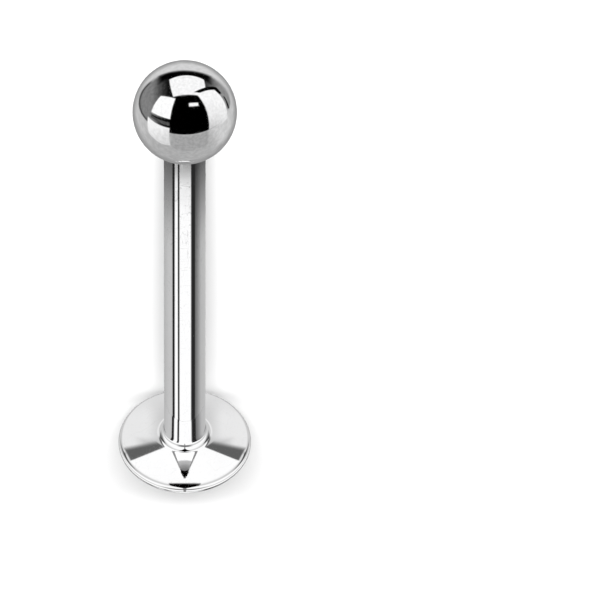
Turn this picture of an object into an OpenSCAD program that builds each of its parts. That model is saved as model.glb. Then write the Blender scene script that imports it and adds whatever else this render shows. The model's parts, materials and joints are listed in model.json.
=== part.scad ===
// Labret stud in polished steel: a tube post with a lens disc at one end and, at the other,
// a ball whose threaded pin screws into the tube. Each piece is drawn upright, with the
// middle of the disc's rim at zero and the ball above it. It is then laid on its side, as
// the stud lies by itself, on the ball and on the rim of the disc.

/* [Post] */
// Outside diameter of the post, 16 gauge
post_d = 1.2; // [1:0.05:1.6]
// Wearable length, from the crown of the disc to the end that the ball seats on
wear_l = 12.7; // [6:0.1:16]
// Wall around the threaded bore
bore_wall = 0.13; // [0.1:0.01:0.16]
// Radius that rounds the outer edge of the open end
mouth_round = 0.1; // [0.04:0.01:0.12]

/* [Disc] */
// Diameter of the lens disc
disc_d = 3.85; // [3.4:0.05:5]
// Thickness of the disc's rounded rim
rim_t = 0.28; // [0.2:0.02:0.4]
// Height of the crown on the post's side, above the middle of the rim
face_rise = 0.5; // [0.46:0.02:0.8]
// Height of the crown on the back, below the middle of the rim
back_rise = 0.56; // [0.5:0.02:0.8]
// Radius of the fillet where the post runs into the disc
fillet_r = 0.25; // [0.15:0.05:0.4]

/* [Ball] */
// Diameter of the ball
ball_d = 3; // [2.5:0.125:3.5]
// Width of the ball's flat seat beyond the post, all round
seat_margin = 0.05; // [0.02:0.01:0.1]
// Depth of the countersink at the mouth of the hole in the ball
sink_depth = 0.08; // [0.04:0.01:0.12]

/* [Threaded pin] */
// Pitch of the thread
thread_pitch = 0.225; // [0.2:0.025:0.3]
// Depth of the thread, from crest to root
thread_depth = 0.12; // [0.08:0.01:0.14]
// Length of the threaded stretch
thread_l = 1.5; // [1:0.1:2]
// Length of the plain neck between the ball's seat and the thread
neck_l = 0.12; // [0.08:0.02:0.2]
// Length of the tapered tip beyond the thread
tip_l = 0.72; // [0.5:0.02:1]
// How much smaller the tip's end is than the core, on the radius
tip_taper = 0.07; // [0.04:0.01:0.1]
// Radius that rounds the end of the tip
nose_round = 0.1; // [0.06:0.01:0.12]
// Length of the plain shank held in the ball
shank_l = 0.9; // [0.6:0.05:1.1]

/* [Clearances] */
// Radial clearance of the thread in the bore
thread_clear = 0.02; // [0.01:0.005:0.04]
// Room in the bore beyond the end of the tip
bore_end_room = 0.15; // [0.1:0.05:0.5]
// Gap between the ball's seat and the end of the post
seat_gap = 0.02; // [0.01:0.01:0.05]
// Gap around the shank and beyond its end in the ball
shank_clear = 0.01; // [0.01:0.005:0.03]

/* [Hidden] */
polished_steel = [0.8, 0.8, 0.81];
machined_steel = [0.66, 0.66, 0.68];
// Facets of a full turn, and how far a cutter runs past the face that it crosses
round_facets = 96;
past = 0.05;
$fn = round_facets;

post_r = post_d / 2;
post_end_z = face_rise + wear_l;
mouth_centre_r = post_r - mouth_round;

// The disc is a lens: a round rim, and two domes that run into it without a crease
rim_r = rim_t / 2;
rim_centre_r = disc_d / 2 - rim_r;
function dome_r(rise) = (rim_centre_r^2 + rise^2 - rim_r^2) / (2 * (rise - rim_r));
face_r = dome_r(face_rise);
back_r = dome_r(back_rise);
face_centre_z = face_rise - face_r;
back_centre_z = back_r - back_rise;
// Where each dome meets the round of the rim, as an angle from the disc's axis
face_edge = atan2(rim_centre_r, -face_centre_z);
back_edge = atan2(rim_centre_r, back_centre_z);

// The fillet touches the post's side and the dome
fillet_centre_r = post_r + fillet_r;
fillet_centre_z = face_centre_z + sqrt((face_r + fillet_r)^2 - fillet_centre_r^2);
fillet_foot = (face_r - past) / (face_r + fillet_r);

// The ball's flat seats on the end of the post
ball_r = ball_d / 2;
seat_r = post_r + seat_margin;
seat_z = post_end_z + seat_gap;
ball_z = seat_z + sqrt(ball_r^2 - seat_r^2);

// The thread fits the bore, with an eighth of the pitch flat at its crest and a quarter at its root
bore_r = post_r - bore_wall;
thread_r = bore_r - thread_clear;
root_r = thread_r - thread_depth;
root_cover = 0.02;
core_r = root_r - root_cover;
turn_facets = 16;
root_facets = turn_facets / 4;
flank_facets = turn_facets * 5 / 16;
crest_facets = turn_facets / 8;
thread_top_z = seat_z - neck_l;
thread_foot_z = thread_top_z - thread_l;
tip_end_z = thread_foot_z - tip_l;
tip_r = core_r - tip_taper;
shank_end_z = seat_z + shank_l;
shank_hole_r = core_r + shank_clear;
bore_foot_z = tip_end_z - bore_end_room;

// Lying down, the axis dips towards the ball until the ball and the rim both touch the ground
dip = acos((ball_r - rim_r) / norm([rim_centre_r, ball_z])) - atan2(ball_z, rim_centre_r);
axis_height = rim_r + rim_centre_r * cos(dip);
far_x = ball_z * cos(dip) + ball_r;
near_x = back_centre_z * cos(dip) - back_r;

module laid_down()
  translate([-(far_x + near_x) / 2, 0, axis_height])
    rotate([0, 90 + dip, 0])
      children();

// Half of the lens, cut along its axis
module lens_outline() {
  reach = rim_t;
  translate([rim_centre_r, 0])
    circle(rim_r);
  intersection() {
    translate([0, face_centre_z])
      circle(face_r);
    translate([0, back_centre_z])
      circle(back_r);
    polygon([
      [0, -back_rise - past],
      [rim_centre_r + reach * sin(back_edge), -back_rise - past],
      [rim_centre_r + reach * sin(back_edge), -reach * cos(back_edge)],
      [rim_centre_r, 0],
      [rim_centre_r + reach * sin(face_edge), reach * cos(face_edge)],
      [rim_centre_r + reach * sin(face_edge), face_rise + past],
      [0, face_rise + past]
    ]);
  }
}

// The post's side, its rounded mouth and the fillet at its foot
module tube_outline() {
  difference() {
    polygon([
      [0, 0],
      [fillet_centre_r * fillet_foot, face_centre_z + (fillet_centre_z - face_centre_z) * fillet_foot],
      [fillet_centre_r, fillet_centre_z],
      [post_r, fillet_centre_z],
      [post_r, post_end_z - mouth_round],
      [0, post_end_z - mouth_round]
    ]);
    translate([fillet_centre_r, fillet_centre_z])
      circle(fillet_r);
  }
  square([mouth_centre_r, post_end_z]);
  translate([mouth_centre_r, post_end_z - mouth_round])
    circle(mouth_round);
}

module bore_outline()
  translate([0, bore_foot_z])
    square([bore_r, post_end_z - bore_foot_z + past]);

module post()
  color(polished_steel)
    laid_down()
      rotate_extrude()
        difference() {
          union() {
            lens_outline();
            tube_outline();
          }
          bore_outline();
        }

module ball()
  color(polished_steel)
    laid_down()
      difference() {
        translate([0, 0, ball_z])
          sphere(ball_r);
        translate([0, 0, seat_z - ball_r])
          cylinder(r = ball_r, h = ball_r);
        translate([0, 0, seat_z - past])
          cylinder(r = shank_hole_r, h = shank_l + shank_clear + past);
        translate([0, 0, seat_z])
          cylinder(r1 = shank_hole_r + sink_depth, r2 = shank_hole_r, h = sink_depth);
      }

// Height of the thread above its root, as a share of its depth, around one turn
function thread_share(facet) =
  facet < root_facets ? 0 :
  facet < root_facets + flank_facets ? (facet - root_facets) / flank_facets :
  facet < root_facets + flank_facets + crest_facets ? 1 :
  (turn_facets - facet) / flank_facets;

// A cut straight across the thread, which climbs once around the core
module thread_outline()
  polygon([
    for (facet = [0 : turn_facets - 1])
      let (r = root_r + thread_depth * thread_share(facet))
        r * [cos(360 * facet / turn_facets), sin(360 * facet / turn_facets)]
  ]);

module thread() {
  turns = thread_l / thread_pitch;
  translate([0, 0, thread_foot_z])
    linear_extrude(
      height = thread_l,
      twist = -360 * turns,
      slices = ceil(turns * turn_facets),
      $fn = turn_facets
    )
      thread_outline();
}

// The tapered tip with its rounded nose, cut along its axis
module tip_outline() {
  nose_centre_r = tip_r - nose_round;
  translate([0, tip_end_z]) {
    polygon([
      [0, nose_round],
      [tip_r, nose_round],
      [core_r, tip_l],
      [0, tip_l]
    ]);
    square([nose_centre_r, nose_round]);
    intersection() {
      translate([nose_centre_r, nose_round])
        circle(nose_round);
      square([tip_r, nose_round]);
    }
  }
}

module threaded_pin()
  color(machined_steel)
    laid_down()
      union() {
        thread();
        translate([0, 0, thread_foot_z])
          cylinder(r = core_r, h = shank_end_z - thread_foot_z);
        rotate_extrude()
          tip_outline();
      }

post();
ball();
threaded_pin();
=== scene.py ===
import json
import math

import bmesh
import bpy
from mathutils import Matrix, Vector


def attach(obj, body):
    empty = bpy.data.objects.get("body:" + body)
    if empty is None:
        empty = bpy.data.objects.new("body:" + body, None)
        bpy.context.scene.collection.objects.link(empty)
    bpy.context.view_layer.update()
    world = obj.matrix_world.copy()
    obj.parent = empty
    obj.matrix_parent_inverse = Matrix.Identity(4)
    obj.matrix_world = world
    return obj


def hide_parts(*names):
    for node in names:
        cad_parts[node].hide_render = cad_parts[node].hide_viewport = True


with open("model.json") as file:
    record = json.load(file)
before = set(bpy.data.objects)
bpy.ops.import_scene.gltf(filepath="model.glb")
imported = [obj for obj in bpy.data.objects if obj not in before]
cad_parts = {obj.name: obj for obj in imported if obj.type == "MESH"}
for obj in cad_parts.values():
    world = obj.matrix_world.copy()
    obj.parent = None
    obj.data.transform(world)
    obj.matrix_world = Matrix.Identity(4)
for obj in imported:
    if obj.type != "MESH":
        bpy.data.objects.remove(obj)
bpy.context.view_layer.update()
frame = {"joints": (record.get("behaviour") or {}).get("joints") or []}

# A millimetre in metres
MM = 0.001

# Driving sizes of the stud in millimetres, the same as in the CAD source
POST_R = 0.6
WEAR_L = 12.7
BORE_WALL = 0.13
MOUTH_ROUND = 0.1
DISC_R = 1.925
RIM_R = 0.14
FACE_RISE = 0.5
BACK_RISE = 0.56
FILLET_R = 0.25
BALL_R = 1.5
SEAT_MARGIN = 0.05
SINK_DEPTH = 0.08
PITCH = 0.225
THREAD_DEPTH = 0.12
THREAD_L = 1.5
NECK_L = 0.12
TIP_L = 0.72
TIP_TAPER = 0.07
NOSE_ROUND = 0.1
SHANK_L = 0.9
THREAD_CLEAR = 0.02
BORE_END_ROOM = 0.15
SEAT_GAP = 0.02
SHANK_CLEAR = 0.01
ROOT_COVER = 0.02

# Shares of the pitch that the thread's root, either flank and its crest take
ROOT_SHARE = 0.25
FLANK_SHARE = 0.3125
CREST_SHARE = 0.125

# Detail that only this model has: the chamfer at the bore's mouth, the groove of the internal thread
# with the plain stretches beyond its ends, how far the threads take to run out, and the length of
# the slopes between the pin's core and its root
MOUTH_CHAMFER = 0.018
GROOVE_DEPTH = 0.05
GROOVE_TOP_ROOM = 0.09
GROOVE_FOOT_ROOM = 0.3
GROOVE_RUN_OUT = 0.12
THREAD_FOOT_RUN_OUT = 0.1
THREAD_TOP_RUN_OUT = 0.08
SLOPE_L = 0.02

# Facets of a full turn
POLISHED_FACETS = 240
PIN_FACETS = 96

# Heights above the middle of the disc's rim, and radii, that follow from them
END_Z = FACE_RISE + WEAR_L
RIM_CENTRE_R = DISC_R - RIM_R
FACE_R = (RIM_CENTRE_R ** 2 + FACE_RISE ** 2 - RIM_R ** 2) / (2 * (FACE_RISE - RIM_R))
BACK_R = (RIM_CENTRE_R ** 2 + BACK_RISE ** 2 - RIM_R ** 2) / (2 * (BACK_RISE - RIM_R))
FACE_CENTRE_Z = FACE_RISE - FACE_R
BACK_CENTRE_Z = BACK_R - BACK_RISE
FILLET_CENTRE_R = POST_R + FILLET_R
FILLET_CENTRE_Z = FACE_CENTRE_Z + math.sqrt((FACE_R + FILLET_R) ** 2 - FILLET_CENTRE_R ** 2)
SEAT_R = POST_R + SEAT_MARGIN
SEAT_Z = END_Z + SEAT_GAP
BALL_Z = SEAT_Z + math.sqrt(BALL_R ** 2 - SEAT_R ** 2)
BORE_R = POST_R - BORE_WALL
THREAD_R = BORE_R - THREAD_CLEAR
ROOT_R = THREAD_R - THREAD_DEPTH
CORE_R = ROOT_R - ROOT_COVER
THREAD_TOP_Z = SEAT_Z - NECK_L
THREAD_FOOT_Z = THREAD_TOP_Z - THREAD_L
TIP_END_Z = THREAD_FOOT_Z - TIP_L
TIP_R = CORE_R - TIP_TAPER
SHANK_HOLE_R = CORE_R + SHANK_CLEAR
BORE_FOOT_Z = TIP_END_Z - BORE_END_ROOM

# The stud's own axis, from the disc to the ball, the direction across it that points up, and the
# one to the right in the picture
AXIS = Vector(frame["joints"][0]["axis"]).normalized()
ACROSS = Vector((-AXIS.z, 0, AXIS.x))
SIDE = Vector((0, -1, 0))
NEAR_X = BACK_CENTRE_Z * AXIS.x - BACK_R
FAR_X = BALL_Z * AXIS.x + BALL_R
DISC_CENTRE = Vector((-(FAR_X + NEAR_X) / 2, 0, RIM_R + RIM_CENTRE_R * AXIS.x))
BALL_CENTRE = DISC_CENTRE + AXIS * BALL_Z


def laid(radius, angle, height):
    """A point of the upright stud, in metres where it lies on the floor."""
    out = ACROSS * (radius * math.cos(angle)) + SIDE * (radius * math.sin(angle))
    return (DISC_CENTRE + AXIS * height + out) * MM


# Outlines and lathed meshes

def arc(centre_r, centre_z, radius, start, end, steps):
    """Points of an arc, with its angles in degrees from straight out towards the ball."""
    points = []
    for step in range(steps + 1):
        angle = math.radians(start + (end - start) * step / steps)
        points.append((centre_r + radius * math.cos(angle), centre_z + radius * math.sin(angle)))
    return points


def line(start, end, steps):
    """Points of a straight stretch, both ends included."""
    points = []
    for step in range(steps + 1):
        share = step / steps
        points.append(tuple(a + (b - a) * share for a, b in zip(start, end)))
    return points


def lathe(bm, outline, segments):
    """Turns an outline of (radius, height) points about the stud's axis.

    A point on the axis becomes one vertex, and any other a ring of them."""
    rows = []
    for radius, height in outline:
        if radius < 1e-6:
            rows.append([bm.verts.new(laid(0, 0, height))])
        else:
            turn = [2 * math.pi * k / segments for k in range(segments)]
            rows.append([bm.verts.new(laid(radius, angle, height)) for angle in turn])
    for low, high in zip(rows, rows[1:]):
        for k in range(segments):
            after = (k + 1) % segments
            if len(low) == 1:
                bm.faces.new((low[0], high[after], high[k]))
            elif len(high) == 1:
                bm.faces.new((low[k], low[after], high[0]))
            else:
                bm.faces.new((low[k], low[after], high[after], high[k]))


def helix(bm, foot, top, radius_at, segments, rings_per_turn):
    """A threaded wall whose rows of faces follow the thread.

    radius_at(share, height) is its radius at a share of the pitch and at a height."""
    last = math.ceil((top - foot) / PITCH * rings_per_turn)
    columns = []
    for k in range(segments):
        column = {}
        for row in range(-rings_per_turn, last + 1):
            rise = PITCH * (row / rings_per_turn + k / segments)
            height = min(max(foot + rise, foot), top)
            share = (row % rings_per_turn) / rings_per_turn
            radius = radius_at(share, height)
            column[row] = bm.verts.new(laid(radius, 2 * math.pi * k / segments, height))
        columns.append(column)
    for k in range(segments):
        after = (k + 1) % segments
        shift = 0 if after else rings_per_turn
        near = columns[k]
        far = columns[after]
        for row in range(-rings_per_turn, last):
            low = far[min(row + shift, last)]
            high = far[min(row + 1 + shift, last)]
            corners = [near[row], low, high, near[row + 1]]
            unique = list(dict.fromkeys(corners))
            if len(unique) > 2:
                bm.faces.new(unique)


def thread_share(share):
    """Height of the thread above its root, as a share of its depth, at a share of the pitch."""
    if share < ROOT_SHARE:
        return 0.0
    if share < ROOT_SHARE + FLANK_SHARE:
        return (share - ROOT_SHARE) / FLANK_SHARE
    if share < ROOT_SHARE + FLANK_SHARE + CREST_SHARE:
        return 1.0
    return (1 - share) / FLANK_SHARE


def eased(value):
    """Zero up to 0, one from 1 on, and a soft change between them."""
    value = min(max(value, 0), 1)
    return value * value * (3 - 2 * value)


def finish_mesh(bm, name, crease=32):
    """Closes the joins between parts of a mesh, and makes a smooth object with sharp creases."""
    bmesh.ops.remove_doubles(bm, verts=bm.verts, dist=2e-7)
    bmesh.ops.dissolve_degenerate(bm, edges=bm.edges, dist=1e-8)
    bmesh.ops.recalc_face_normals(bm, faces=bm.faces)
    mesh = bpy.data.meshes.new(name)
    bm.to_mesh(mesh)
    bm.free()
    mesh.shade_smooth()
    mesh.set_sharp_from_angle(angle=math.radians(crease))
    obj = bpy.data.objects.new(name, mesh)
    bpy.context.scene.collection.objects.link(obj)
    return obj


def make_post():
    """The tube and its lens disc, with the fillet between them and the internal thread."""
    face_edge = math.degrees(math.atan2(RIM_CENTRE_R, -FACE_CENTRE_Z))
    back_edge = math.degrees(math.atan2(RIM_CENTRE_R, BACK_CENTRE_Z))
    fillet_edge = math.degrees(math.asin(FILLET_CENTRE_R / (FACE_R + FILLET_R)))
    # The straight side starts and ends a little way from the arcs that it runs into
    off = 0.01
    side_foot = FILLET_CENTRE_Z + off
    side_top = END_Z - MOUTH_ROUND - off
    groove_top = END_Z - GROOVE_TOP_ROOM
    groove_foot = BORE_FOOT_Z + GROOVE_FOOT_ROOM
    outline = arc(0, BACK_CENTRE_Z, BACK_R, -90, back_edge - 90, steps=40)
    outline[0] = (0, -BACK_RISE)
    outline += arc(RIM_CENTRE_R, 0, RIM_R, back_edge - 90, 90 - face_edge, steps=32)[1:]
    outline += arc(0, FACE_CENTRE_Z, FACE_R, 90 - face_edge, 90 - fillet_edge, steps=48)[1:]
    outline += arc(FILLET_CENTRE_R, FILLET_CENTRE_Z, FILLET_R, 270 - fillet_edge, 180, steps=28)[1:]
    outline += line((POST_R, side_foot), (POST_R, side_top), steps=24)
    outline += arc(POST_R - MOUTH_ROUND, END_Z - MOUTH_ROUND, MOUTH_ROUND, 0, 90, steps=14)
    outline += [(BORE_R + MOUTH_CHAMFER, END_Z), (BORE_R, END_Z - MOUTH_CHAMFER)]
    outline += [(BORE_R, groove_top)]
    inner = [(BORE_R, groove_foot), (BORE_R, BORE_FOOT_Z), (0, BORE_FOOT_Z)]
    bm = bmesh.new()
    lathe(bm, outline, POLISHED_FACETS)
    lathe(bm, inner, POLISHED_FACETS)

    def groove(share, height):
        top_end = eased((groove_top - height) / GROOVE_RUN_OUT)
        foot_end = eased((height - groove_foot) / GROOVE_RUN_OUT)
        ends = top_end * foot_end
        return BORE_R + GROOVE_DEPTH * ends * thread_share(share)

    helix(bm, groove_foot, groove_top, groove, POLISHED_FACETS, rings_per_turn=14)
    return finish_mesh(bm, "stud_post")


def make_ball():
    """The ball, with the flat that seats on the post and the hole that holds the pin."""
    flat = math.degrees(math.asin(SEAT_R / BALL_R))
    outline = arc(0, BALL_Z, BALL_R, 90, flat - 90, steps=160)
    outline[0] = (0, BALL_Z + BALL_R)
    outline += [(SHANK_HOLE_R + SINK_DEPTH, SEAT_Z)]
    outline += [(SHANK_HOLE_R, SEAT_Z + SINK_DEPTH)]
    outline += [(SHANK_HOLE_R, SEAT_Z + SHANK_L + SHANK_CLEAR), (0, SEAT_Z + SHANK_L + SHANK_CLEAR)]
    bm = bmesh.new()
    lathe(bm, outline, POLISHED_FACETS)
    return finish_mesh(bm, "stud_ball")


def make_pin():
    """The threaded pin: shank, neck, helical thread, tapered tip with a rounded nose."""
    tip = [(0, TIP_END_Z)]
    tip += arc(TIP_R - NOSE_ROUND, TIP_END_Z + NOSE_ROUND, NOSE_ROUND, -90, 0, steps=10)
    tip += line((TIP_R, TIP_END_Z + NOSE_ROUND), (CORE_R, THREAD_FOOT_Z - SLOPE_L), steps=8)[1:]
    tip += [(ROOT_R, THREAD_FOOT_Z)]
    shank = [(ROOT_R, THREAD_TOP_Z), (CORE_R, THREAD_TOP_Z + SLOPE_L)]
    shank += line((CORE_R, THREAD_TOP_Z + SLOPE_L), (CORE_R, SEAT_Z + SHANK_L), steps=6)[1:]
    shank += [(0, SEAT_Z + SHANK_L)]
    bm = bmesh.new()
    lathe(bm, tip, PIN_FACETS)
    lathe(bm, shank, PIN_FACETS)

    def wall(share, height):
        foot_end = eased((height - THREAD_FOOT_Z) / THREAD_FOOT_RUN_OUT)
        top_end = eased((THREAD_TOP_Z - height) / THREAD_TOP_RUN_OUT)
        return ROOT_R + THREAD_DEPTH * foot_end * top_end * thread_share(share)

    helix(bm, THREAD_FOOT_Z, THREAD_TOP_Z, wall, PIN_FACETS, rings_per_turn=32)
    return finish_mesh(bm, "stud_pin", crease=24)


# Node trees

class Nodes:
    """Shorthand for building one node tree out of maths nodes."""

    def __init__(self, tree):
        self.tree = tree

    def put(self, socket, value):
        """Links an input to another node's output, or sets it to a value."""
        if isinstance(value, bpy.types.NodeSocket):
            self.tree.links.new(value, socket)
        else:
            socket.default_value = value

    def add(self, kind, **settings):
        """A new node of this kind with these settings."""
        node = self.tree.nodes.new(kind)
        for name, value in settings.items():
            setattr(node, name, value)
        return node

    def maths(self, operation, first, second=0.0):
        """The result of one operation on one or two numbers."""
        node = self.add("ShaderNodeMath", operation=operation)
        self.put(node.inputs[0], first)
        self.put(node.inputs[1], second)
        return node.outputs[0]

    def vector(self, operation, first, second=(0, 0, 0), third=(0, 0, 0)):
        """The result of one operation on up to three vectors."""
        node = self.add("ShaderNodeVectorMath", operation=operation)
        self.put(node.inputs[0], first)
        self.put(node.inputs[1], second)
        self.put(node.inputs[2], third)
        return node.outputs["Value" if operation in ("DOT_PRODUCT", "LENGTH") else "Vector"]

    def ramp(self, value, start, end, low=0.0, high=1.0, smooth=True):
        """low up to start, high from end on, and an even change between them.

        Where start is the larger one, it runs the other way."""
        node = self.add("ShaderNodeMapRange")
        node.interpolation_type = "SMOOTHSTEP" if smooth else "LINEAR"
        node.clamp = True
        self.put(node.inputs["Value"], value)
        limits = {"From Min": start, "From Max": end, "To Min": low, "To Max": high}
        for name, limit in limits.items():
            self.put(node.inputs[name], limit)
        return node.outputs["Result"]

    def fall(self, value, start, end):
        """One up to start, zero from end on."""
        return self.ramp(value, start, end, 1.0, 0.0)

    def both(self, *shares):
        """The smallest of some shares, which is one where they all are."""
        least = shares[0]
        for share in shares[1:]:
            least = self.maths("MINIMUM", least, share)
        return least

    def between(self, value, start, full, fade, end):
        """One from full to fade, and zero up to start and from end on."""
        return self.both(self.ramp(value, start, full), self.fall(value, fade, end))

    def mix(self, share, first, second):
        """first where the share is zero, second where it is one."""
        node = self.add("ShaderNodeMix", data_type="FLOAT")
        self.put(node.inputs[0], share)
        self.put(node.inputs[2], first)
        self.put(node.inputs[3], second)
        return node.outputs[0]

    def noise(self, place, scale, detail):
        """A noise that swings about a half."""
        node = self.add("ShaderNodeTexNoise")
        node.inputs["Scale"].default_value = scale
        node.inputs["Detail"].default_value = detail
        self.put(node.inputs["Vector"], place)
        return node.outputs["Fac"]


# Steel

# The share of light that the polished steel and the machined steel reflect
POLISHED_TONE = 0.8
MACHINED_TONE = 0.66
BLUE_TINT = 1.004
# Noise scales for each metre, and how far the clouding moves the tone to either side
CLOUD_SCALE = 900
GRAIN_SCALE = 9000
CLOUD_SHADE = 0.012
# What a polishing line adds to the roughness and takes from the tone
MARK_ROUGHNESS = 0.05
MARK_SHADE = 0.03
# Shares of the relief: depth of the lines, height of the grain, and height of the turning rings
# where they are at full strength
MARK_DEPTH = 0.15
GRAIN_HEIGHT = 0.35
RING_HEIGHT = 8
# Pitch of the turning rings in millimetres
RING_PITCH = 0.03


def scratches(kit, place, stretch, scale, width):
    """Thin lines along one direction: where a stretched noise crosses its middle value."""
    noise = kit.noise(kit.vector("MULTIPLY", place, stretch), scale, 2)
    off = kit.maths("ABSOLUTE", kit.maths("SUBTRACT", noise, 0.5))
    return kit.fall(off, 0.0, width)


def steel(name, tone, roughness, rough_spread, rings, bump):
    """Steel with faint clouding, fine polishing lines and, where it is machined, turning rings.

    rings is what a ring adds to the roughness and takes from the tone, and bump is the height of
    the relief in metres."""
    material = bpy.data.materials.new(name)
    material.use_nodes = True
    tree = material.node_tree
    kit = Nodes(tree)
    shader = tree.nodes["Principled BSDF"]
    shader.inputs["Metallic"].default_value = 1
    place = kit.add("ShaderNodeTexCoord").outputs["Object"]
    cloud = kit.noise(place, CLOUD_SCALE, 4)
    grain = kit.noise(place, GRAIN_SCALE, 3)
    lengthwise = scratches(kit, place, stretch=(0.12, 1, 1), scale=5200, width=0.012)
    crosswise = scratches(kit, place, stretch=(1, 0.2, 0.35), scale=4100, width=0.009)
    marks = kit.maths("MAXIMUM", lengthwise, crosswise)
    along = kit.vector("DOT_PRODUCT", place, AXIS)
    ring_wave = kit.maths("SINE", kit.maths("MULTIPLY", along, 2 * math.pi / (RING_PITCH * MM)))
    ring_share = kit.ramp(ring_wave, -1, 1)

    rough = kit.ramp(cloud, 0.3, 0.7, roughness - rough_spread, roughness + rough_spread)
    rough = kit.maths("ADD", rough, kit.maths("MULTIPLY", marks, MARK_ROUGHNESS))
    rough = kit.maths("ADD", rough, kit.maths("MULTIPLY", ring_share, rings))
    kit.put(shader.inputs["Roughness"], rough)

    shade = kit.ramp(cloud, 0.25, 0.75, -CLOUD_SHADE, CLOUD_SHADE)
    shade = kit.maths("ADD", tone, shade)
    shade = kit.maths("SUBTRACT", shade, kit.maths("MULTIPLY", marks, MARK_SHADE))
    shade = kit.maths("SUBTRACT", shade, kit.maths("MULTIPLY", ring_share, rings))
    colour = kit.add("ShaderNodeCombineColor")
    kit.put(colour.inputs[0], shade)
    kit.put(colour.inputs[1], shade)
    kit.put(colour.inputs[2], kit.maths("MULTIPLY", shade, BLUE_TINT))
    kit.put(shader.inputs["Base Color"], colour.outputs[0])

    height = kit.maths("MULTIPLY", marks, -MARK_DEPTH)
    height = kit.maths("ADD", height, kit.maths("MULTIPLY", grain, GRAIN_HEIGHT))
    height = kit.maths("ADD", height, kit.maths("MULTIPLY", ring_share, rings * RING_HEIGHT))
    relief = kit.add("ShaderNodeBump")
    relief.inputs["Strength"].default_value = 1
    relief.inputs["Distance"].default_value = bump
    kit.put(relief.inputs["Height"], height)
    kit.put(shader.inputs["Normal"], relief.outputs[0])
    return material


# Pieces

post = make_post()
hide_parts("post")
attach(post, "post")
post_steel = steel("post_steel", POLISHED_TONE, roughness=0.035, rough_spread=0.01, rings=0.0, bump=3e-9)
post.data.materials.append(post_steel)

ball = make_ball()
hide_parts("ball")
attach(ball, "ball_end")
ball_steel = steel("ball_steel", POLISHED_TONE, roughness=0.05, rough_spread=0.015, rings=0.0, bump=1e-8)
ball.data.materials.append(ball_steel)

pin = make_pin()
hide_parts("threaded_pin")
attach(pin, "ball_end")
pin_steel = steel("pin_steel", MACHINED_TONE, roughness=0.24, rough_spread=0.05, rings=0.05, bump=2e-7)
pin.data.materials.append(pin_steel)


# Camera, above the floor on the ball's side, rolled so that the ball is on top

# Sensor and lens in millimetres, and the side of the picture in pixels
SENSOR = 36
LENS = 1500
IMAGE = 600
FOCAL = LENS / SENSOR * IMAGE
# Where the middles of the ball and of the disc are in the picture, and the ball's radius there
BALL_PIXEL = (184.75, 112.3)
DISC_PIXEL_Y = 441.5
BALL_PIXEL_R = 52.35

# The camera stands off the ball so far that it has that radius, at the angle from the stud's axis
# that puts the disc's middle where it belongs
BALL_DEPTH = BALL_R * FOCAL / BALL_PIXEL_R
DROP = (DISC_PIXEL_Y - BALL_PIXEL[1]) / FOCAL
TILT = math.asin(DROP * BALL_DEPTH / (BALL_Z * math.hypot(1, DROP))) + math.atan(DROP)
BACK = AXIS * math.cos(TILT) + ACROSS * math.sin(TILT)
UP = AXIS * math.sin(TILT) - ACROSS * math.cos(TILT)

camera_data = bpy.data.cameras.new("camera")
camera_data.sensor_width = SENSOR
camera_data.lens = LENS
camera_data.clip_start = 0.05
camera_data.clip_end = 20
camera = bpy.data.objects.new("camera", camera_data)
bpy.context.scene.collection.objects.link(camera)
bpy.context.scene.camera = camera
aim_right = (BALL_PIXEL[0] - IMAGE / 2) / FOCAL
aim_up = (IMAGE / 2 - BALL_PIXEL[1]) / FOCAL
eye = (BALL_CENTRE + BACK * BALL_DEPTH) * MM
camera_z = (BACK + SIDE * aim_right + UP * aim_up).normalized()
camera_x = UP.cross(camera_z).normalized()
camera_y = camera_z.cross(camera_x)
turned = Matrix((camera_x, camera_y, camera_z)).transposed()
camera.matrix_world = Matrix.Translation(eye) @ turned.to_4x4()


# The studio: a white floor under soft light, and around the stud the shapes that steel reflects

def plane(name, size):
    """A level square at the ground."""
    bm = bmesh.new()
    bmesh.ops.create_grid(bm, x_segments=1, y_segments=1, size=size / 2)
    mesh = bpy.data.meshes.new(name)
    bm.to_mesh(mesh)
    bm.free()
    obj = bpy.data.objects.new(name, mesh)
    bpy.context.scene.collection.objects.link(obj)
    return obj


def matt_paint(name, tone):
    """A grey paint with no gloss at all."""
    paint = bpy.data.materials.new(name)
    paint.use_nodes = True
    shader = paint.node_tree.nodes["Principled BSDF"]
    shader.inputs["Base Color"].default_value = (tone, tone, tone, 1)
    shader.inputs["Roughness"].default_value = 1
    shader.inputs["Specular IOR Level"].default_value = 0
    return paint


# The floor's tone, the strength of the light all round, and how far off the lamps are in metres
FLOOR_TONE = 0.8
SKY_LIGHT = 0.1
LAMP_DISTANCE = 0.5

floor = plane("floor", size=4)
floor.visible_glossy = False
floor.data.materials.append(matt_paint("floor_paint", FLOOR_TONE))

world = bpy.data.worlds.new("studio")
bpy.context.scene.world = world
world.use_nodes = True
world.node_tree.nodes["Background"].inputs["Color"].default_value = (1, 1, 1, 1)
world.node_tree.nodes["Background"].inputs["Strength"].default_value = SKY_LIGHT
world.cycles_visibility.glossy = False


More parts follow.
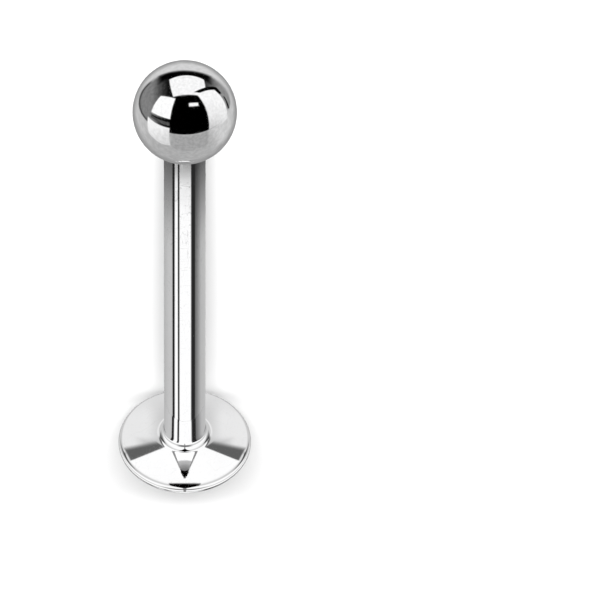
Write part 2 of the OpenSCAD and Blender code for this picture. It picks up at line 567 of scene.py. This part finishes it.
def softbox(name, elevation, half_height, half_width, share, blockers):
    """A lamp on the camera's side, with its angles in degrees as seen from the disc.

    It gives the floor this share of full white, and only the blockers cast a shadow in its light."""
    data = bpy.data.lights.new(name, "AREA")
    data.shape = "RECTANGLE"
    data.size = 2 * LAMP_DISTANCE * math.tan(math.radians(half_width))
    data.size_y = 2 * LAMP_DISTANCE * math.tan(math.radians(half_height))
    height = math.sin(math.radians(elevation))
    data.energy = share * 4 * math.pi * LAMP_DISTANCE ** 2 / (FLOOR_TONE * height)
    lamp = bpy.data.objects.new(name, data)
    bpy.context.scene.collection.objects.link(lamp)
    way = Vector((math.cos(math.radians(elevation)), 0, height))
    lamp.location = DISC_CENTRE * MM + way * LAMP_DISTANCE
    lamp.rotation_mode = "QUATERNION"
    lamp.rotation_quaternion = way.to_track_quat("Z", "Y")
    lamp.visible_glossy = False
    shadow = bpy.data.collections.new(name + "_shadow")
    for blocker in blockers:
        shadow.objects.link(blocker)
    lamp.light_linking.blocker_collection = shadow


# The keys are a little lower than the camera, so that the shadow falls behind the disc
softbox("key", elevation=35, half_height=2, half_width=10, share=0.34, blockers=[post])
softbox("wide_key", elevation=36.5, half_height=2, half_width=28, share=0.28, blockers=[post])
softbox("fill", elevation=70, half_height=20, half_width=20, share=0.38, blockers=[])

# Brightness on the screen is light to the power of one over this
DISPLAY_GAMMA = 2.2


class Studio(Nodes):
    """The light that some pieces reflect, drawn on the inside of a sphere around them.

    It is laid out in face coordinates: the place, as a share of a ball's radius right and up, where
    a ball seen from the camera's side reflects that light. These are fixed directions in the room,
    the same for every view. Each tone is as bright as it looks there."""

    def __init__(self, name, centre, radius, receivers):
        material = bpy.data.materials.new(name)
        material.use_nodes = True
        super().__init__(material.node_tree)
        self.tree.nodes.clear()
        bm = bmesh.new()
        bmesh.ops.create_icosphere(bm, subdivisions=4, radius=radius * MM)
        mesh = bpy.data.meshes.new(name)
        bm.to_mesh(mesh)
        bm.free()
        mesh.materials.append(material)
        material.cycles.emission_sampling = "NONE"
        shell = bpy.data.objects.new(name, mesh)
        bpy.context.scene.collection.objects.link(shell)
        shell.location = centre * MM
        shell.visible_camera = False
        shell.visible_diffuse = False
        shell.visible_shadow = False
        shell.visible_transmission = False
        shell.visible_volume_scatter = False
        lit = bpy.data.collections.new(name + "_lit")
        for piece in receivers:
            lit.objects.link(piece)
        shell.light_linking.receiver_collection = lit
        place = self.add("ShaderNodeTexCoord").outputs["Object"]
        self.way = self.vector("NORMALIZE", place)
        self.normal = self.vector("NORMALIZE", self.vector("ADD", self.way, BACK))
        self.right = self.vector("DOT_PRODUCT", self.normal, SIDE)
        self.up = self.vector("DOT_PRODUCT", self.normal, UP)
        self.aside = self.maths("ABSOLUTE", self.right)
        joined = self.add("ShaderNodeCombineXYZ")
        self.put(joined.inputs[0], self.right)
        self.put(joined.inputs[1], self.up)
        self.face = joined.outputs[0]
        self.reach = self.vector("LENGTH", self.face)
        # How far a direction points along the stud's axis, from -1 to 1, its angle around that axis
        # in degrees, from straight up to the picture's right, and that angle to either side
        self.along = self.vector("DOT_PRODUCT", self.way, AXIS)
        sideways = self.vector("DOT_PRODUCT", self.way, SIDE)
        upwards = self.vector("DOT_PRODUCT", self.way, ACROSS)
        self.turn = self.maths("DEGREES", self.maths("ARCTAN2", sideways, upwards))
        self.swing = self.maths("ABSOLUTE", self.turn)
        # The picture so far
        self.tone = None

    def towards(self, place):
        """The direction that a place on the face reflects."""
        right, up = place
        depth = math.sqrt(1 - right * right - up * up)
        normal = SIDE * right + UP * up + BACK * depth
        return normal * (2 * depth) - BACK

    def beyond(self, first, second, inside, soft):
        """One on the side where inside lies of the straight edge from first to second, else zero."""
        edge = self.towards(first).cross(self.towards(second)).normalized()
        if edge.dot(inside) < 0:
            edge = -edge
        return self.ramp(self.vector("DOT_PRODUCT", self.way, edge), -soft, soft)

    def patch(self, corners, soft=0.025):
        """One inside a convex panel of the studio, whose corners are places on the face."""
        inside = sum((self.towards(corner) for corner in corners), Vector())
        share = None
        for first, second in zip(corners, corners[1:] + corners[:1]):
            side = self.beyond(first, second, inside, soft)
            share = side if share is None else self.both(share, side)
        return share

    def cut(self, first, second, inside, soft):
        """One on inside's side of a line that is straight on the face, drawn on both its halves."""
        along = Vector(second) - Vector(first)
        edge = Vector((-along.y, along.x)).normalized()
        if edge.dot(Vector(inside) - Vector(first)) < 0:
            edge = -edge
        offset = edge.dot(Vector(first))
        across = self.maths("ADD", self.maths("MULTIPLY", self.aside, edge.x),
                            self.maths("MULTIPLY", self.up, edge.y))
        return self.ramp(across, offset - soft, offset + soft)

    def from_middle(self, centre, radii):
        """Distance from an oval's middle, where the oval itself is at one."""
        offset = (-centre[0] / radii[0], -centre[1] / radii[1], 0)
        place = self.vector("MULTIPLY_ADD", self.face, (1 / radii[0], 1 / radii[1], 0), offset)
        return self.vector("LENGTH", place)

    def oval(self, centre, radii, soft):
        """One inside an oval of the face."""
        return self.fall(self.from_middle(centre, radii), 1 - soft, 1 + soft)

    def cover(self, tone, share):
        """Lays a tone over the picture so far."""
        self.tone = self.mix(share, self.tone, tone)

    def mottle(self, scale, strength):
        """Lays a faint unevenness over the picture so far."""
        uneven = self.ramp(self.noise(self.way, scale, 3), 0.3, 0.7, -strength, strength)
        self.tone = self.maths("ADD", self.tone, uneven)

    def reflected_more_than(self, times):
        """One where the light is reflected more often than that on its way to the eye."""
        bounces = self.add("ShaderNodeLightPath").outputs["Ray Depth"]
        return self.maths("GREATER_THAN", bounces, times + 0.5)

    def finish(self, second_tone):
        """Lights the shell. What steel shows of itself in its own mirror is a painted reflection in the
        second tone.

        The light makes up for what polished steel takes from it at each reflection."""
        twice = self.maths("MULTIPLY", second_tone, POLISHED_TONE ** (-1 / DISPLAY_GAMMA))
        tone = self.mix(self.reflected_more_than(1), self.tone, twice)
        light = self.maths("DIVIDE", self.maths("POWER", tone, DISPLAY_GAMMA), POLISHED_TONE)
        glow = self.add("ShaderNodeEmission")
        self.put(glow.inputs["Strength"], light)
        clear = self.add("ShaderNodeBsdfTransparent")
        total = self.add("ShaderNodeAddShader")
        self.put(total.inputs[0], glow.outputs[0])
        self.put(total.inputs[1], clear.outputs[0])
        output = self.add("ShaderNodeOutputMaterial")
        self.put(output.inputs["Surface"], total.outputs[0])


def light_ball():
    """What the ball and its pin reflect.

    It is a pale table all round, and in it a dark room with softboxes."""
    s = Studio("ball_studio", BALL_CENTRE, radius=1000, receivers=[ball, pin])

    # The table, lighter at the far side, with the glow of the softboxes and a shade on it, and
    # darker towards the ball's outline
    s.tone = s.ramp(s.up, -0.9, 0.85, 0.67, 0.82)
    right_glow = [(0.46, -0.3), (0.5, 0.0), (0.84, 0.02), (0.88, -0.3), (0.62, -0.62)]
    s.cover(0.79, s.patch(right_glow, 0.2))
    left_glow = [(-0.92, -0.1), (-0.86, 0.2), (-0.72, -0.2), (-0.72, -0.5)]
    s.cover(0.74, s.patch(left_glow, 0.15))
    near_shade = [(-0.26, -0.4), (0.44, -0.34), (0.42, -0.62), (-0.26, -0.66)]
    s.cover(0.63, s.patch(near_shade, 0.06))
    s.cover(0.55, s.ramp(s.reach, 0.9, 1.0))

    # The dark room, black behind the softboxes and greyer at its sides
    middle = (-0.005, 0.180)
    radii = (0.872, 0.602)
    from_middle = s.from_middle(middle, radii)
    near_edge = s.oval(middle, radii, 0.012)
    far_edge = s.oval(middle, radii, 0.06)
    room = s.mix(s.ramp(s.up, 0.15, 0.45), near_edge, far_edge)
    left_wall = s.ramp(s.right, -0.62, -0.28, 0.49, 0.06, smooth=False)
    right_wall = s.ramp(s.right, 0.36, 0.66, 0.2, 0.54, smooth=False)
    s.cover(s.mix(s.ramp(s.right, -0.1, 0.1), left_wall, right_wall), room)
    left_edge = s.both(near_edge, s.ramp(from_middle, 0.95, 0.98), s.fall(s.right, -0.7, -0.6))
    s.cover(0.3, left_edge)
    black_edge = s.both(room, s.ramp(from_middle, 0.78, 0.9), s.fall(s.aside, 0.4, 0.55))
    s.cover(0.03, black_edge)
    near_corner = s.both(near_edge, s.ramp(s.right, 0.3, 0.5), s.fall(s.up, 0.0, 0.12))
    s.cover(0.8, near_corner)

    # Softboxes, and the dark gap and slit at the right one
    lower_left = [(-0.70, -0.08), (-0.68, -0.40), (-0.44, -0.60), (-0.272, -0.63), (-0.286, -0.30)]
    s.cover(s.ramp(s.up, -0.6, -0.2, 0.84, 0.96), s.patch(lower_left))
    upper_left = [(-0.455, 0.313), (-0.169, 0.262), (-0.272, -0.137), (-0.637, 0.009), (-0.55, 0.2)]
    s.cover(1.0, s.patch(upper_left))
    far_box = [(-0.297, 0.623), (0.364, 0.623), (0.392, 0.469), (0.30, 0.31), (-0.22, 0.29)]
    s.cover(0.97, s.patch(far_box))
    gap = [(0.17, 0.385), (0.385, 0.47), (0.52, 0.492), (0.60, 0.473), (0.70, 0.36), (0.5, 0.3)]
    s.cover(0.02, s.patch(gap, 0.012))
    right_box = [(0.225, 0.345), (0.42, 0.418), (0.575, 0.43), (0.66, 0.36), (0.785, 0.12),
                 (0.82, -0.1), (0.47, -0.3)]
    fading = s.ramp(s.up, -0.28, -0.08)
    s.cover(s.ramp(s.up, -0.2, 0.35, 0.9, 0.98), s.both(s.patch(right_box, 0.02), fading))
    slit = [(0.735, 0.30), (0.755, 0.30), (0.85, 0.08), (0.822, 0.08)]
    s.cover(0.06, s.patch(slit, 0.014))

    # The bar between the left softboxes, black with a grey face
    bar = [(-0.66, -0.015), (-0.275, -0.165), (-0.23, -0.305), (-0.46, -0.20), (-0.67, -0.095)]
    s.cover(0.04, s.patch(bar, 0.02))
    bar_face = [(-0.65, -0.04), (-0.29, -0.195), (-0.29, -0.26), (-0.65, -0.085)]
    s.cover(0.33, s.patch(bar_face, 0.018))
    s.mottle(scale=11, strength=0.03)

    # The camera with what stands around it, and a small bright window in that
    camera_side = [(-0.165, 0.283), (0.238, 0.317), (0.46, -0.32), (0.3, -0.6), (-0.2, -0.6),
                   (-0.279, -0.342)]
    s.cover(0.01, s.both(s.patch(camera_side, 0.02), near_edge))
    window = [(0.078, 0.176), (0.254, 0.186), (0.264, 0.12), (0.082, 0.108)]
    s.cover(1.0, s.patch(window, 0.02))

    # Painted reflection: seen in the disc's mirror, the ball shows a painted black point on white,
    # wide at its top, and a third reflection is painted black too
    width = s.maths("ADD", s.ramp(s.along, 0.05, -0.55, 11, 50, smooth=False),
                    s.ramp(s.along, -0.5, -0.57, 0, 50))
    beyond_point = s.maths("SUBTRACT", s.swing, width)
    point = s.both(s.fall(beyond_point, -3, 3), s.fall(s.along, 0.6, 0.68))
    point = s.maths("MAXIMUM", point, s.reflected_more_than(2))
    s.finish(s.mix(point, 1.0, 0.02))


def light_post():
    """What the post and its disc reflect.

    It is a row of strips along the tube, and a grey and a white half over the disc."""
    s = Studio("post_studio", DISC_CENTRE, radius=250, receivers=[post])

    def strip(start, end, soft):
        """One between two angles around the stud's axis."""
        return s.between(s.turn, start - soft, start + soft, end - soft, end + soft)

    # Grey walls on both sides, a white softbox between them, and three dark lines. Painted shade: the
    # walls and the softbox darken in the directions that the tube reflects next to the ball
    painted_shade_near_ball = s.maths("MULTIPLY", s.ramp(s.along, -0.7405, -0.7265, smooth=False),
                        s.fall(s.along, -0.4, -0.3))
    left_wall = s.ramp(s.turn, -170, -85, 0.66, 0.76)
    right_wall = s.ramp(s.turn, 48, 108, 0.40, 0.71)
    walls = s.mix(s.ramp(s.turn, -1, 1), left_wall, right_wall)
    # Painted shade of the ball: the walls fall to a dark grey where the tube ends at the ball
    s.tone = s.mix(s.maths("POWER", painted_shade_near_ball, 1.3), walls, 0.08)
    s.cover(s.ramp(painted_shade_near_ball, 0.545, 0.66, 1.0, 0.4), strip(-56.5, 35, 3.5))
    s.cover(0.14, strip(-72, -59, 3))
    s.cover(0.15, strip(-38.5, -29.5, 2.5))
    s.cover(0.17, strip(39, 59, 4))
    tube = s.tone

    # Disc: a grey half above, a white one below, and a dark wedge on either side between them
    s.tone = s.mix(s.ramp(s.aside, 0.13, 0.25), 0.8, 0.91)
    s.cover(0.85, s.ramp(s.up, 0.72, 0.88))
    s.cover(0.74, s.both(s.fall(s.up, 0.56, 0.62), s.fall(s.aside, 0.2, 0.33)))
    upper_half = s.cut((0.16, 0.5345), (0.328, 0.466), (0.2, 0.6), 0.004)
    wedge_top = s.cut((0.169, 0.578), (0.358, 0.539), (0.2, 0.4), 0.018)
    wedge_start = s.cut((0.125, 0.547), (0.16, 0.569), (0.3, 0.5), 0.004)
    wedge_end = s.cut((0.337, 0.466), (0.370, 0.524), (0.2, 0.5), 0.006)
    s.cover(0.37, s.both(wedge_top, wedge_start, wedge_end))
    s.cover(1.0, s.maths("SUBTRACT", 1.0, upper_half))

    # Rim: white below with a faint line on it, grey beside the upper half, and a dark spot between
    from_dome = s.from_middle((0, 0.61), (0.375, 0.282))
    lean = s.vector("DOT_PRODUCT", s.normal, AXIS)
    s.cover(0.8, s.between(lean, 0.40, 0.46, 0.54, 0.60))
    s.cover(0.78, s.both(s.ramp(from_dome, 1.03, 1.1), s.ramp(s.up, 0.1, 0.35)))
    rim_spot = s.both(s.ramp(from_dome, 0.995, 1.025), s.between(s.up, 0.28, 0.32, 0.49, 0.52),
                      s.between(s.aside, 0.36, 0.39, 0.62, 0.7))
    s.cover(s.ramp(s.aside, 0.4, 0.62, 0.2, 0.6, smooth=False), rim_spot)

    # A black card in front, with a narrow grey stem below it
    card_width = s.ramp(s.up, 0.02, 0.32, 0.012, 0.09, smooth=False)
    beyond_card = s.maths("SUBTRACT", s.aside, card_width)
    card = s.both(s.fall(beyond_card, 0.0, 0.012), s.fall(s.up, 0.318, 0.33))
    s.cover(s.ramp(s.up, 0.0, 0.13, 0.5, 0.02), card)

    # The grey line that curves round the tube's foot, and a darker edge all round
    s.cover(0.43, s.both(s.fall(s.swing, 8, 42), s.between(s.along, 0.02, 0.12, 0.42, 0.5)))
    s.cover(0.5, s.both(s.ramp(s.reach, 0.92, 0.97), s.ramp(s.along, -0.4, -0.3)))

    # What lies past the disc's end is for the tube, and all the rest for the disc
    s.tone = s.mix(s.ramp(s.along, -0.62, -0.55), tube, s.tone)

    # Painted reflections: in the disc's mirror the tube is painted as a spike: white, then grey towards
    # its end, with a grey edge. The tube's own mirror keeps the strips. The ball's mirror shows the
    # tube in painted plain grey, and so does a third reflection
    far_end = s.ramp(s.along, 0.975, 0.991, 0.68, 0.45, smooth=False)
    spike = s.mix(s.ramp(s.along, 0.964, 0.969), 1.0, far_end)
    spike = s.mix(s.ramp(s.swing, 94, 99), spike, 0.5)
    mirrored = s.mix(s.ramp(s.along, 0.77, 0.87), tube, spike)
    mirrored = s.mix(s.ramp(s.along, -0.6, -0.4), 0.55, mirrored)
    mirrored = s.mix(s.reflected_more_than(2), mirrored, 0.55)
    s.finish(mirrored)


light_ball()
light_post()

bpy.context.scene.view_settings.view_transform = "Standard"
